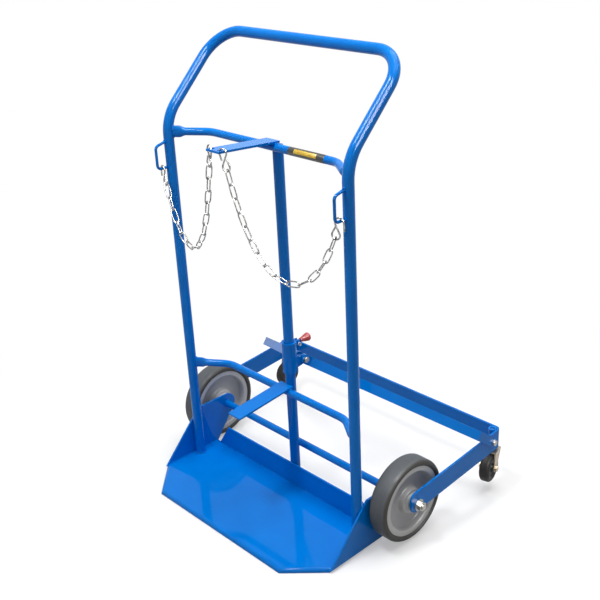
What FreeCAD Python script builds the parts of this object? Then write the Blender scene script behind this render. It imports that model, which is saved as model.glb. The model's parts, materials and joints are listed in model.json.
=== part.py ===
"""Cart for two gas cylinders with a fold-up rear caster carriage, in millimetres.

X runs across the cart, -Y is the front with the toe plate and +Z is up.
Sizes are measured from the floor, midway between the two rails; the pieces are then
moved so that the origin is on the floor under the middle of the whole cart.
"""
import FreeCAD
import Part
import Sketcher
import math
import os
import re
from FreeCAD import Placement, Rotation, Vector

SIZES = {
    # Main frame tube: rails and handle
    "tube_diameter": 30,
    "tube_wall": 2.5,
    "rail_spacing": 696,
    "rail_bend_height": 1107,
    "rail_bend_radius": 120,
    "handle_reach": 212,
    "handle_height": 1319,
    "handle_corner_radius": 95,
    # Crossbars, centre tube and divider straps
    "crossbar_diameter": 22,
    "crossbar_wall": 2,
    "crossbar_flat": 490,
    "crossbar_bend_radius": 70,
    "upper_crossbar_height": 1068,
    "lower_crossbar_height": 340,
    "centre_offset": 97,
    "centre_bottom": 18,
    "centre_top": 1066,
    "strap_width": 50,
    "strap_thickness": 6,
    "strap_reach": 122,
    "upper_strap_tilt": 4.5,
    "lower_strap_tilt": -5,
    "strap_hole_diameter": 14,
    "strap_hole_spacing": 30,
    "strap_hole_inset": 12,
    # Toe plate and gussets
    "plate_thickness": 5,
    "plate_top": 12,
    "plate_bend_radius": 10,
    "toe_reach": 221,
    "toe_shoulder": 126,
    "toe_nose_width": 530,
    "flange_height": 86,
    "flange_top_width": 588,
    "flange_base_width": 694,
    "gusset_thickness": 6,
    "gusset_boss_radius": 33,
    "gusset_shoulder": 20,
    "gusset_heel": 85,
    # Axle and main wheels
    "axle_diameter": 16,
    "axle_offset": 134,
    "axle_height": 127,
    "axle_tube_diameter": 22,
    "axle_overhang": 4,
    "axle_nut_flats": 24,
    "axle_nut_height": 13,
    "axle_washer_diameter": 34,
    "axle_washer_thickness": 2.5,
    "wheel_diameter": 244,
    "wheel_spacer": 4.7,
    "tyre_width": 58,
    "tyre_bead": 5,
    "tyre_round": 11,
    "hub_length": 64,
    "hub_boss_diameter": 54,
    "hub_shoulder_diameter": 74,
    "hub_shoulder_width": 47,
    "hub_web": 9,
    "hub_dish": 3,
    "hub_rim_diameter": 208,
    "hub_rim_depth": 15,
    "hub_rim_width": 50,
    "bearing_diameter": 40,
    "bearing_width": 14,
    # Rear carriage
    "bar_height": 62,
    "bar_thickness": 6,
    "bar_bend_radius": 14,
    "arm_spacer": 8.4,
    "rear_reach": 508,
    "rear_bottom": 137,
    "arm_front_overhang": 30,
    "arm_front_bottom": 106,
    "arm_front_round": 20,
    "socket_diameter": 24,
    # Casters
    "caster_diameter": 89,
    "caster_width": 32,
    "caster_round": 8,
    "caster_core_diameter": 60,
    "caster_axle_height": 76,
    "caster_side_gap": 2,
    "caster_trail": 20,
    "caster_stem_diameter": 13,
    "caster_stem_recess": 6,
    "caster_fork_top": 130,
    "caster_fork_gauge": 4,
    "caster_fork_front": 24,
    "caster_fork_back": 20,
    "caster_leg_round": 11,
    "caster_axle_diameter": 10,
    "caster_axle_flats": 16,
    "caster_axle_head": 6,
    "caster_raceway_diameter": 23,
    "left_caster_angle": 0,
    "right_caster_angle": 15,
    # Sleeve, lug and brace links
    "sleeve_diameter": 42,
    "sleeve_length": 97,
    "sleeve_bottom": 391,
    "sleeve_play": 0.5,
    "sleeve_travel": 436.8,
    "sleeve_collar_diameter": 44,
    "sleeve_collar_height": 14,
    "lug_width": 30,
    "lug_plate": 6,
    "lug_reach": 43,
    "lug_rise": 30,
    "lug_round": 14,
    "link_width": 28,
    "link_thickness": 6,
    "link_end": 14,
    "link_lug_tab": 30,
    "link_arm_tab": 86,
    "link_bolt_diameter": 10,
    "link_bolt_flats": 16,
    "link_bolt_head": 6.5,
    "link_nut_flats": 14,
    "link_nut_height": 4.5,
    "link_bolt_inset": 43,
    "link_bolt_rise": 34,
    # Latch
    "latch_offset": 31,
    "latch_drop": 16,
    "latch_width": 9,
    "latch_pin_diameter": 6,
    "latch_ear_thickness": 4,
    "latch_ear_height": 24,
    "latch_tooth_drop": 20,
    "latch_tooth_height": 7,
    "latch_tooth_gap": 0.8,
    "latch_rise": 0,
    "latch_rod_diameter": 7,
    "latch_rod_length": 38,
    "latch_grip_length": 34,
    "latch_grip_base": 12,
    "latch_grip_tip": 26,
    "latch_pin_end": 1,
    "latch_hole_play": 1,
    "latch_arm_rise": 4,
    "latch_spring_diameter": 11,
    "latch_spring_width": 5,
    # Staples and chains
    "staple_rod": 8,
    "staple_reach": 48,
    "staple_top": 1045,
    "staple_slope": 12,
    "staple_bottom": 968,
    "staple_bend_radius": 12,
    "hook_wire": 4.5,
    "hook_loop": 11,
    "hook_step": 19,
    "chain_wire": 3.4,
    "chain_pitch": 36.8,
    "chain_link_width": 19,
    "chain_links": 15,
    "chain_corner": 0.4,
    # Gaps between pieces
    "fit_gap": 0.05,
    "side_gap": 0.3,
    "chain_gap": 0.6,
    "hook_gap": 1.2,
    # Distance from the rails back to the middle of the whole cart
    "origin_setback": 147.5,
}

PLACES = {
    "tube_radius": "tube_diameter / 2",
    "rail_x": "rail_spacing / 2",
    "crossbar_radius": "crossbar_diameter / 2",
    "crossbar_offset": "centre_offset - tube_radius - crossbar_radius",
    "plate_bottom": "plate_top - plate_thickness",
    "flange_back": "centre_offset - tube_radius",
    "gusset_inner": "rail_x + tube_radius",
    "gusset_outer": "gusset_inner + gusset_thickness",
    "nose_half": "toe_nose_width / 2",
    "nose_run": "gusset_inner - nose_half",
    "nose_rise": "toe_reach - toe_shoulder",
    "lip_shift": "plate_thickness * sqrt(nose_run ^ 2 + nose_rise ^ 2) / nose_run",
    "lip_corner": "gusset_inner - (nose_rise + lip_shift - plate_thickness) * nose_run / nose_rise",
    "axle_radius": "axle_diameter / 2",
    "axle_bore": "axle_radius + fit_gap",
    "gusset_top": "axle_height + gusset_boss_radius",
    "hub_inner_x": "gusset_outer + wheel_spacer + side_gap",
    "wheel_x": "hub_inner_x + hub_length / 2",
    "hub_outer_x": "wheel_x + hub_length / 2",
    "hub_rim_radius": "hub_rim_diameter / 2",
    "hub_rim_inner": "hub_rim_radius - hub_rim_depth",
    "bearing_radius": "bearing_diameter / 2",
    "arm_inner": "hub_outer_x + arm_spacer + 2 * side_gap",
    "arm_outer": "arm_inner + bar_thickness",
    "arm_front": "axle_offset - arm_front_overhang",
    "arm_front_top": "arm_front_bottom + bar_height",
    "rear_inner": "rear_reach - bar_thickness",
    "rear_top": "rear_bottom + bar_height",
    "socket_x": "arm_inner - socket_diameter / 2",
    "socket_y": "rear_inner - socket_diameter / 2",
    "stem_radius": "caster_stem_diameter / 2",
    "fork_inner": "caster_width / 2 + caster_side_gap",
    "fork_outer": "fork_inner + caster_fork_gauge",
    "caster_radius": "caster_diameter / 2",
    "sleeve_radius": "sleeve_diameter / 2",
    "sleeve_bore": "tube_radius + sleeve_play",
    "sleeve_top": "sleeve_bottom + sleeve_length",
    "lug_y": "centre_offset + lug_reach",
    "lug_height": "sleeve_bottom + lug_rise",
    "link_bolt_radius": "link_bolt_diameter / 2",
    "link_bolt_y": "rear_reach - link_bolt_inset",
    "link_bolt_z": "rear_bottom + link_bolt_rise",
    "link_run": "link_bolt_y - lug_y",
    "link_drop": "lug_height - link_bolt_z",
    "link_length": "sqrt(link_run ^ 2 + link_drop ^ 2)",
    "link_inner_x": "lug_width / 2 + side_gap",
    "link_outer_x": "arm_outer + side_gap",
    "link_joggle": "link_length - link_arm_tab",
    "link_mitre": "link_thickness * tan(atan2(link_outer_x - link_inner_x; link_joggle - link_lug_tab) / 2)",
    "latch_y": "centre_offset + latch_offset",
    "latch_height": "sleeve_top - latch_drop",
    "latch_arm": "latch_pin_diameter * 1.4",
    "latch_face": "latch_rod_diameter * 0.6",
    "latch_pin_radius": "latch_pin_diameter / 2",
    "latch_ear_inner": "latch_width / 2 + side_gap",
    "latch_ear_outer": "latch_ear_inner + latch_ear_thickness",
    "latch_tooth_tip": "tube_radius + latch_tooth_gap - latch_offset",
}

SIDES = {"left": -1, "right": 1}
CHAMFER_GROWTH = 2 - math.sqrt(2)
# Radius of the ring on which a sketch's corners are first set out, before its constraints hold them.
ROUGH_RADIUS = 100
ALONG_X = Rotation(Vector(0, 1, 0), 90)
WORD = re.compile(r"[A-Za-z_]\w*")

doc = FreeCAD.newDocument("GasCylinderCart")
nodes = []


def linked(formula, own_sheet=None):
    """Point every size name in a formula at its sheet's cell."""
    def point(match):
        word = match.group(0)
        if word in SIZES:
            return "Sizes." + word
        if word in PLACES and own_sheet != "Places":
            return "Places." + word
        return word
    return WORD.sub(point, str(formula))


def make_sheet(name, cells):
    """Write one sheet of named cells."""
    sheet = doc.addObject("Spreadsheet::Sheet", name)
    for row, (alias, content) in enumerate(cells.items(), start=1):
        sheet.set(f"A{row}", alias)
        sheet.set(f"B{row}", content)
        sheet.setAlias(f"B{row}", alias)
    doc.recompute()
    return sheet


sizes = make_sheet("Sizes", {alias: str(number) for alias, number in SIZES.items()})
places = make_sheet("Places", {alias: "=" + linked(text, "Places") for alias, text in PLACES.items()})


def size(name):
    """Read a size or a place as a plain number."""
    sheet = sizes if name in SIZES else places
    content = sheet.get(name)
    return float(getattr(content, "Value", content))


def bind(thing, **formulas):
    """Tie properties of an object to formulas of sizes."""
    for prop, formula in formulas.items():
        thing.setExpression(prop, linked(formula))
    return thing


def keep(thing, label):
    """Name an object as one of the cart's pieces."""
    thing.Label = label
    nodes.append(thing)
    return thing


# Sketched bodies

def new_body(label, placement=None):
    body = doc.addObject("PartDesign::Body", label)
    body.Placement = placement or Placement()
    return keep(body, label)


def new_sketch(body, plane, lift="0"):
    sketch = body.newObject("Sketcher::SketchObject", "Sketch")
    support = [item for item in body.Origin.OriginFeatures if item.Role == plane]
    sketch.AttachmentSupport = [(support[0], "")]
    sketch.MapMode = "FlatFace"
    sketch.setExpression("AttachmentOffset.Base.z", linked(lift))
    return sketch


def fix_point(sketch, edge, point, across, up):
    """Hold one point of the sketch at formulas for its two coordinates."""
    for kind, formula in (("DistanceX", across), ("DistanceY", up)):
        index = sketch.addConstraint(Sketcher.Constraint(kind, -1, 1, edge, point, 1.0))
        sketch.setExpression(f"Constraints[{index}]", linked(formula))


def draw_outline(sketch, corners):
    """Draw a closed outline of straight lines through corners given as formulas."""
    first = sketch.GeometryCount
    count = len(corners)
    turns = [2 * math.pi * step / count for step in range(count)]
    rough = [Vector(ROUGH_RADIUS * math.cos(turn), ROUGH_RADIUS * math.sin(turn), 0) for turn in turns]
    for step in range(count):
        sketch.addGeometry(Part.LineSegment(rough[step], rough[(step + 1) % count]), False)
    for step in range(count):
        following = first + (step + 1) % count
        sketch.addConstraint(Sketcher.Constraint("Coincident", first + step, 2, following, 1))
    for step, (across, up) in enumerate(corners):
        fix_point(sketch, first + step, 1, across, up)
    return sketch


def draw_circle(sketch, across, up, radius):
    edge = sketch.addGeometry(Part.Circle(Vector(), Vector(0, 0, 1), 10), False)
    fix_point(sketch, edge, 3, across, up)
    index = sketch.addConstraint(Sketcher.Constraint("Radius", edge, 10))
    sketch.setExpression(f"Constraints[{index}]", linked(radius))
    return sketch


def pad(body, sketch, length, reverse=False, centred=False):
    feature = body.newObject("PartDesign::Pad", "Pad")
    feature.Profile = sketch
    feature.Reversed = reverse
    feature.SideType = "Symmetric" if centred else "One side"
    return bind(feature, Length=length)


def pocket_through(body, sketch):
    """Cut the sketch right through the body, both ways."""
    feature = body.newObject("PartDesign::Pocket", "Pocket")
    feature.Profile = sketch
    feature.Type = "ThroughAll"
    feature.SideType = "Symmetric"
    return feature


def revolve(body, sketch):
    """Turn the sketch about its own horizontal axis."""
    feature = body.newObject("PartDesign::Revolution", "Revolution")
    feature.Profile = sketch
    feature.ReferenceAxis = (sketch, ["H_Axis"])
    feature.Angle = 360
    return feature


def round_edges(body, radius, wanted):
    """Fillet the edges of the body's tip that the test picks out."""
    doc.recompute()
    tip = body.Tip
    names = [f"Edge{n}" for n, edge in enumerate(tip.Shape.Edges, start=1) if wanted(edge)]
    feature = body.newObject("PartDesign::Fillet", "Fillet")
    feature.Base = (tip, names)
    return bind(feature, Radius=radius)


def near(first, second):
    return abs(first - second) < 0.01


# Turned and bent pieces

def cylinder(radius, length, placement):
    thing = doc.addObject("Part::Cylinder", "Cylinder")
    thing.Placement = placement
    return bind(thing, Radius=radius, Height=length)


def prism(flats, length, placement):
    """A hexagon measured across its flats."""
    thing = doc.addObject("Part::Prism", "Prism")
    thing.Polygon = 6
    thing.Placement = placement
    return bind(thing, Circumradius=f"({flats}) / 2 / cos(30 deg)", Height=length)


def box(length, width, height, placement):
    thing = doc.addObject("Part::Box", "Box")
    thing.Placement = placement
    return bind(thing, Length=length, Width=width, Height=height)


def cut(base, *tools):
    for tool in tools:
        whole = base
        base = doc.addObject("Part::Cut", "Cut")
        base.Base = whole
        base.Tool = tool
    return base


def fuse(*things):
    joined = doc.addObject("Part::MultiFuse", "Fuse")
    joined.Shapes = list(things)
    return joined


def group(*things):
    together = doc.addObject("Part::Compound", "Group")
    together.Links = list(things)
    return together


def ring(radius, bore, length, placement):
    return cut(cylinder(radius, length, placement), cylinder(bore, length, placement))


def across(x, y, z):
    """A place whose own Z axis points along X."""
    return Placement(Vector(x, y, z), ALONG_X)


def side_start(sign, inner, length):
    """Lower X end of a stretch that runs outwards from an inner X on one side."""
    return inner if sign > 0 else -inner - length


def bent_path(points, radii):
    """Straight runs through the points, joined by tangent arcs at the inner points."""
    edges = []
    start = points[0]
    for before, corner, after, radius in zip(points, points[1:], points[2:], radii):
        back = (before - corner).normalize()
        ahead = (after - corner).normalize()
        half_turn = back.getAngle(ahead) / 2
        bisector = (back + ahead).normalize()
        entry = corner + back * (radius / math.tan(half_turn))
        leave = corner + ahead * (radius / math.tan(half_turn))
        middle = corner + bisector * (radius / math.sin(half_turn) - radius)
        edges.append(Part.LineSegment(start, entry).toShape())
        edges.append(Part.Arc(entry, middle, leave).toShape())
        start = leave
    edges.append(Part.LineSegment(start, points[-1]).toShape())
    return Part.Wire(edges)


def rod_along(path, radius):
    """A round rod along a path of lines and arcs."""
    first = path.OrderedEdges[0]
    start = first.valueAt(first.FirstParameter)
    heading = first.tangentAt(first.FirstParameter)
    section = Part.Wire(Part.makeCircle(radius, start, heading))
    return path.makePipeShell([section], True, False)


def tube_along(path, diameter, wall):
    return rod_along(path, diameter / 2).cut(rod_along(path, diameter / 2 - wall))


def shaped(label, shape):
    """A piece whose shape is worked out from the sizes."""
    thing = doc.addObject("Part::Feature", label)
    thing.Shape = shape
    thing.Placement = Placement()
    return keep(thing, label)


# Welded frame

def frame_path():
    """Centre line of the main frame tube, up one rail, round the handle and down the other."""
    x = size("rail_x")
    foot = size("plate_top")
    knee = size("rail_bend_height")
    reach = size("handle_reach")
    top = size("handle_height")
    left = [Vector(-x, 0, foot), Vector(-x, 0, knee), Vector(-x, reach, top)]
    right = [Vector(x, reach, top), Vector(x, 0, knee), Vector(x, 0, foot)]
    knee_radius = size("rail_bend_radius")
    corner_radius = size("handle_corner_radius")
    return bent_path(left + right, [knee_radius, corner_radius, corner_radius, knee_radius])


def coped(shape):
    """Trim a piece where it meets the rails."""
    return shape.cut(rod_along(frame_path(), size("tube_radius")))


def make_main_frame_tube():
    shaped("main_frame_tube", tube_along(frame_path(), size("tube_diameter"), size("tube_wall")))


def make_crossbar(label, height):
    x = size("rail_x")
    flat = size("crossbar_flat") / 2
    bow = size("crossbar_offset")
    points = [Vector(-x, 0, height), Vector(-flat, bow, height), Vector(flat, bow, height), Vector(x, 0, height)]
    path = bent_path(points, [size("crossbar_bend_radius")] * 2)
    tube = tube_along(path, size("crossbar_diameter"), size("crossbar_wall"))
    shaped(label, coped(tube))


def make_centre_tube():
    y = size("centre_offset")
    foot = Placement(Vector(0, y, size("centre_bottom")), Rotation())
    tube = ring("tube_radius", "tube_radius - tube_wall", "centre_top - centre_bottom", foot)
    tooth_height = size("latch_height") - size("latch_tooth_drop") + size("latch_tooth_height") / 2
    rearwards = Rotation(Vector(1, 0, 0), -90)
    holes = []
    for lift in (0, size("sleeve_travel")):
        place = Placement(Vector(0, y, tooth_height + lift), rearwards)
        holes.append(cylinder("latch_width / 2 + latch_hole_play", "tube_diameter", place))
    keep(cut(tube, *holes), "centre_tube")


def make_strap(label, height, tilt, holed):
    """A flat strap lying on a crossbar and reaching forwards, its top tilted by an angle."""
    turn = math.radians(tilt)
    radius = size("crossbar_radius")
    seat_y = size("crossbar_offset") + radius * math.sin(turn)
    seat_z = height + radius * math.cos(turn)
    tilted = Rotation(Vector(1, 0, 0), -tilt)
    body = new_body(label, Placement(Vector(0, seat_y, seat_z), tilted))
    tip = "-(strap_reach + crossbar_offset)"
    corners = [("-strap_width / 2", tip), ("strap_width / 2", tip),
               ("strap_width / 2", "crossbar_radius"), ("-strap_width / 2", "crossbar_radius")]
    pad(body, draw_outline(new_sketch(body, "XY_Plane"), corners), "strap_thickness")
    if holed:
        sketch = new_sketch(body, "XY_Plane")
        for sign in SIDES.values():
            draw_circle(sketch, f"{sign} * strap_hole_spacing / 2", tip + " + strap_hole_inset",
                        "strap_hole_diameter / 2")
        pocket_through(body, sketch)
    return body


def make_toe_plate():
    body = new_body("toe_plate")
    nose = [("-gusset_inner", "-toe_shoulder"), ("-nose_half", "-toe_reach"),
            ("nose_half", "-toe_reach"), ("gusset_inner", "-toe_shoulder")]
    plan = nose + [("gusset_inner", "flange_back"), ("-gusset_inner", "flange_back")]
    pad(body, draw_outline(new_sketch(body, "XY_Plane", "plate_bottom"), plan), "plate_thickness")
    inner = [("gusset_inner", "lip_shift - toe_shoulder"), ("lip_corner", "plate_thickness - toe_reach"),
             ("-lip_corner", "plate_thickness - toe_reach"), ("-gusset_inner", "lip_shift - toe_shoulder")]
    pad(body, draw_outline(new_sketch(body, "XY_Plane"), nose + inner), "plate_top")
    flange = [("-flange_base_width / 2", "plate_bottom"), ("flange_base_width / 2", "plate_bottom"),
              ("flange_top_width / 2", "flange_height"), ("-flange_top_width / 2", "flange_height")]
    pad(body, draw_outline(new_sketch(body, "XZ_Plane", "-flange_back"), flange), "plate_thickness")
    shoulder = -size("toe_shoulder")

    def on_nose(edge):
        ends = edge.Vertexes
        return all(near(end.Z, size("plate_top")) and end.Y < shoulder + 0.01 for end in ends)
    round_edges(body, "plate_bend_radius", on_nose)


def make_gusset(side, sign):
    body = new_body(f"{side}_gusset")
    face = f"{sign} * gusset_inner"
    outline = [("-toe_shoulder", "plate_bottom"), ("gusset_shoulder", "gusset_top"),
               ("axle_offset", "gusset_top"),
               ("axle_offset + 0.8 * gusset_boss_radius", "axle_height - 0.6 * gusset_boss_radius"),
               ("gusset_heel", "plate_bottom")]
    flip = sign < 0
    pad(body, draw_outline(new_sketch(body, "YZ_Plane", face), outline), "gusset_thickness", flip)
    boss = draw_circle(new_sketch(body, "YZ_Plane", face), "axle_offset", "axle_height", "gusset_boss_radius")
    pad(body, boss, "gusset_thickness", flip)
    hole = draw_circle(new_sketch(body, "YZ_Plane", face), "axle_offset", "axle_height", "axle_bore")
    pocket_through(body, hole)


def staple_arm(sign):
    """Middle of the staple's lower arm, where a chain's hook hangs."""
    reach = (size("tube_radius") + size("staple_reach")) / 2
    return Vector(sign * size("rail_x"), -reach, size("staple_bottom"))


def make_staple(side, sign):
    x = sign * size("rail_x")
    reach = -size("staple_reach")
    top = size("staple_top")
    bottom = size("staple_bottom")
    points = [Vector(x, 0, top), Vector(x, reach, top - size("staple_slope")),
              Vector(x, reach, bottom), Vector(x, 0, bottom)]
    path = bent_path(points, [size("staple_bend_radius")] * 2)
    shaped(f"{side}_chain_staple", coped(rod_along(path, size("staple_rod") / 2)))


# Axle and main wheels

def make_axle():
    y = size("axle_offset")
    z = size("axle_height")
    stack = "arm_outer + side_gap + axle_washer_thickness + axle_nut_height + axle_overhang"
    half = size("arm_outer") + size("side_gap") + size("axle_washer_thickness")
    half = half + size("axle_nut_height") + size("axle_overhang")
    keep(cylinder("axle_radius", f"2 * ({stack})", across(-half, y, z)), "axle")
    place = across(-size("gusset_inner"), y, z)
    keep(ring("axle_tube_diameter / 2", "axle_bore", "2 * gusset_inner", place), "axle_tube")


def make_axle_hardware(side, sign):
    """Spacers and washers that hold the wheel and the arm in place, and the nut at the end."""
    y = size("axle_offset")
    z = size("axle_height")
    gap = size("side_gap")
    stretches = [
        (size("gusset_outer"), size("hub_inner_x") - gap, "wheel_spacer"),
        (size("hub_outer_x") + gap, size("arm_inner") - gap, "arm_spacer"),
        (size("arm_outer") + gap, size("arm_outer") + gap + size("axle_washer_thickness"),
         "axle_washer_thickness"),
    ]
    rings = []
    for inner, outer, length in stretches:
        place = across(side_start(sign, inner, outer - inner), y, z)
        rings.append(ring("axle_washer_diameter / 2", "axle_bore", length, place))
    keep(group(*rings), f"{side}_axle_spacers")
    seat = stretches[-1][1]
    place = across(side_start(sign, seat, size("axle_nut_height")), y, z)
    nut = cut(prism("axle_nut_flats", "axle_nut_height", place),
              cylinder("axle_bore", "axle_nut_height", place))
    keep(nut, f"{side}_axle_nut")


def wheel_place(sign):
    return Placement(Vector(sign * size("wheel_x"), size("axle_offset"), size("axle_height")), Rotation())


def make_wheel_hub(side, sign):
    body = new_body(f"{side}_wheel_hub", wheel_place(sign))
    half = [("hub_length / 2", "bearing_radius"), ("hub_length / 2", "hub_boss_diameter / 2"),
            ("hub_shoulder_width / 2", "hub_boss_diameter / 2"),
            ("hub_shoulder_width / 2", "hub_shoulder_diameter / 2"),
            ("hub_web / 2", "hub_shoulder_diameter / 2"), ("hub_web / 2", "hub_rim_inner - hub_dish"),
            ("hub_rim_width / 2", "hub_rim_inner"), ("hub_rim_width / 2", "hub_rim_radius")]
    mirrored = [(f"-{across_x}", up) for across_x, up in reversed(half)]
    revolve(body, draw_outline(new_sketch(body, "XY_Plane"), half + mirrored))


def make_tyre(side, sign):
    body = new_body(f"{side}_tyre", wheel_place(sign))
    half = [("hub_rim_width / 2", "hub_rim_radius"), ("tyre_width / 2", "hub_rim_radius + tyre_bead"),
            ("tyre_width / 2", "wheel_diameter / 2")]
    mirrored = [(f"-{across_x}", up) for across_x, up in reversed(half)]
    revolve(body, draw_outline(new_sketch(body, "XY_Plane"), half + mirrored))

    def on_tread(edge):
        return hasattr(edge.Curve, "Radius") and near(edge.Curve.Radius, size("wheel_diameter") / 2)
    round_edges(body, "tyre_round", on_tread)


def make_wheel_bearings(side, sign):
    y = size("axle_offset")
    z = size("axle_height")
    rings = []
    for inner in (size("hub_inner_x"), size("hub_outer_x") - size("bearing_width")):
        place = across(side_start(sign, inner, size("bearing_width")), y, z)
        rings.append(ring("bearing_radius", "axle_bore", "bearing_width", place))
    keep(group(*rings), f"{side}_wheel_bearings")


# Rear carriage

def make_carriage_bar():
    body = new_body("carriage_bar")
    plan = [("-arm_outer", "arm_front"), ("-arm_outer", "rear_reach"), ("arm_outer", "rear_reach"),
            ("arm_outer", "arm_front"), ("arm_inner", "arm_front"), ("arm_inner", "rear_inner"),
            ("-arm_inner", "rear_inner"), ("-arm_inner", "arm_front")]
    pad(body, draw_outline(new_sketch(body, "XY_Plane", "arm_front_bottom"), plan), "rear_top - arm_front_bottom")

    def at_bend(offset_x, offset_y):
        def wanted(edge):
            ends = edge.Vertexes
            upright = near(ends[0].X, ends[-1].X)
            return upright and all(near(abs(end.X), offset_x) and near(end.Y, offset_y) for end in ends)
        return wanted
    round_edges(body, "bar_bend_radius", at_bend(size("arm_outer"), size("rear_reach")))
    inner_bend = at_bend(size("arm_inner"), size("rear_inner"))
    round_edges(body, "bar_bend_radius - bar_thickness", inner_bend)
    trim = new_sketch(body, "YZ_Plane")
    beyond = "rear_top + bar_height"
    below = "arm_front_bottom - bar_height"
    draw_outline(trim, [("arm_front", beyond), ("rear_reach", beyond),
                        ("rear_reach", "rear_top"), ("arm_front", "arm_front_top")])
    draw_outline(trim, [("arm_front", below), ("arm_front", "arm_front_bottom"),
                        ("rear_reach", "rear_bottom"), ("rear_reach", below)])
    pocket_through(body, trim)

    def at_front(edge):
        ends = edge.Vertexes
        return all(near(end.Y, size("arm_front")) for end in ends) and near(ends[0].Z, ends[-1].Z)
    round_edges(body, "arm_front_round", at_front)
    holes = new_sketch(body, "YZ_Plane")
    draw_circle(holes, "axle_offset", "axle_height", "axle_bore")
    draw_circle(holes, "link_bolt_y", "link_bolt_z", "link_bolt_radius + fit_gap")
    pocket_through(body, holes)


def make_caster_socket(side, sign):
    place = Placement(Vector(sign * size("socket_x"), size("socket_y"), size("rear_bottom")), Rotation())
    socket = ring("socket_diameter / 2", "stem_radius + fit_gap", "rear_top - rear_bottom", place)
    keep(socket, f"{side}_caster_socket")


def make_link_bolt(side, sign):
    """Bolt through the arm and the link's tab, its head outside and its nut inside the arm."""
    y = size("link_bolt_y")
    z = size("link_bolt_z")
    head = size("link_bolt_head")
    nut_height = size("link_nut_height")
    nut_x = size("arm_inner") - nut_height
    seat = size("link_outer_x") + size("link_thickness") + size("side_gap")
    shank_place = across(side_start(sign, nut_x, seat - nut_x), y, z)
    shank = cylinder("link_bolt_radius",
                     "link_outer_x + link_thickness + side_gap - arm_inner + link_nut_height", shank_place)
    cap = prism("link_bolt_flats", "link_bolt_head", across(side_start(sign, seat, head), y, z))
    nut_place = across(side_start(sign, nut_x, nut_height), y, z)
    nut = cut(prism("link_nut_flats", "link_nut_height", nut_place),
              cylinder("link_bolt_radius + fit_gap", "link_nut_height", nut_place))
    keep(group(fuse(shank, cap), nut), f"{side}_link_bolt")


# Casters

def caster_place(side, sign):
    """Frame of one caster: its origin under the stem, its wheel trailing along -Y."""
    turn = Rotation(Vector(0, 0, 1), size(f"{side}_caster_angle"))
    return Placement(Vector(sign * size("socket_x"), size("socket_y"), 0), turn)


def make_caster_stem(side, sign):
    place = caster_place(side, sign) * Placement(Vector(0, 0, size("caster_fork_top")), Rotation())
    stem = cylinder("stem_radius", "rear_top - caster_stem_recess - caster_fork_top", place)
    keep(stem, f"{side}_caster_stem")
    race = ring("caster_raceway_diameter / 2", "stem_radius + fit_gap",
                "rear_bottom - caster_fork_top - 2 * side_gap", place)
    keep(race, f"{side}_caster_raceway")


def make_caster_fork(side, sign):
    body = new_body(f"{side}_caster_fork", caster_place(side, sign))
    crown = [("-fork_outer", "-caster_fork_front"), ("fork_outer", "-caster_fork_front"),
             ("fork_outer", "caster_fork_back"), ("-fork_outer", "caster_fork_back")]
    crown_sketch = draw_outline(new_sketch(body, "XY_Plane", "caster_fork_top"), crown)
    pad(body, crown_sketch, "caster_fork_gauge", True)
    leg = [("-caster_fork_front", "caster_fork_top"),
           ("-caster_trail - caster_leg_round", "caster_axle_height"),
           ("-caster_trail - caster_leg_round / 2", "caster_axle_height - caster_leg_round"),
           ("-caster_trail + caster_leg_round / 2", "caster_axle_height - caster_leg_round"),
           ("-caster_trail + caster_leg_round", "caster_axle_height"),
           ("caster_fork_back", "caster_fork_top")]
    for leg_sign in SIDES.values():
        face = f"{leg_sign} * fork_inner"
        legs = draw_outline(new_sketch(body, "YZ_Plane", face), leg)
        pad(body, legs, "caster_fork_gauge", leg_sign < 0)
    hole = draw_circle(new_sketch(body, "YZ_Plane"), "-caster_trail", "caster_axle_height",
                       "caster_axle_diameter / 2 + fit_gap")
    pocket_through(body, hole)


def make_caster_axle(side, sign):
    frame = caster_place(side, sign)
    y = -size("caster_trail")
    z = size("caster_axle_height")
    reach = size("fork_outer")
    shank = cylinder("caster_axle_diameter / 2", "2 * fork_outer", frame * across(-reach, y, z))
    caps = []
    for cap_sign in SIDES.values():
        start = side_start(cap_sign, reach, size("caster_axle_head"))
        caps.append(prism("caster_axle_flats", "caster_axle_head", frame * across(start, y, z)))
    keep(fuse(shank, *caps), f"{side}_caster_axle")


def make_caster_wheel(side, sign):
    axle = Placement(Vector(0, -size("caster_trail"), size("caster_axle_height")), Rotation())
    place = caster_place(side, sign) * axle
    core = new_body(f"{side}_caster_core", place)
    bore = "caster_axle_diameter / 2 + fit_gap"
    core_outline = [("-caster_width / 2", bore), ("caster_width / 2", bore),
                    ("caster_width / 2", "caster_core_diameter / 2"),
                    ("-caster_width / 2", "caster_core_diameter / 2")]
    revolve(core, draw_outline(new_sketch(core, "XY_Plane"), core_outline))
    tread = new_body(f"{side}_caster_tread", place)
    tread_outline = [("-caster_width / 2", "caster_core_diameter / 2"),
                     ("caster_width / 2", "caster_core_diameter / 2"),
                     ("caster_width / 2", "caster_radius"), ("-caster_width / 2", "caster_radius")]
    revolve(tread, draw_outline(new_sketch(tread, "XY_Plane"), tread_outline))

    def on_tread(edge):
        return hasattr(edge.Curve, "Radius") and near(edge.Curve.Radius, size("caster_radius"))
    round_edges(tread, "caster_round", on_tread)


# Brace links, sleeve and latch

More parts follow.
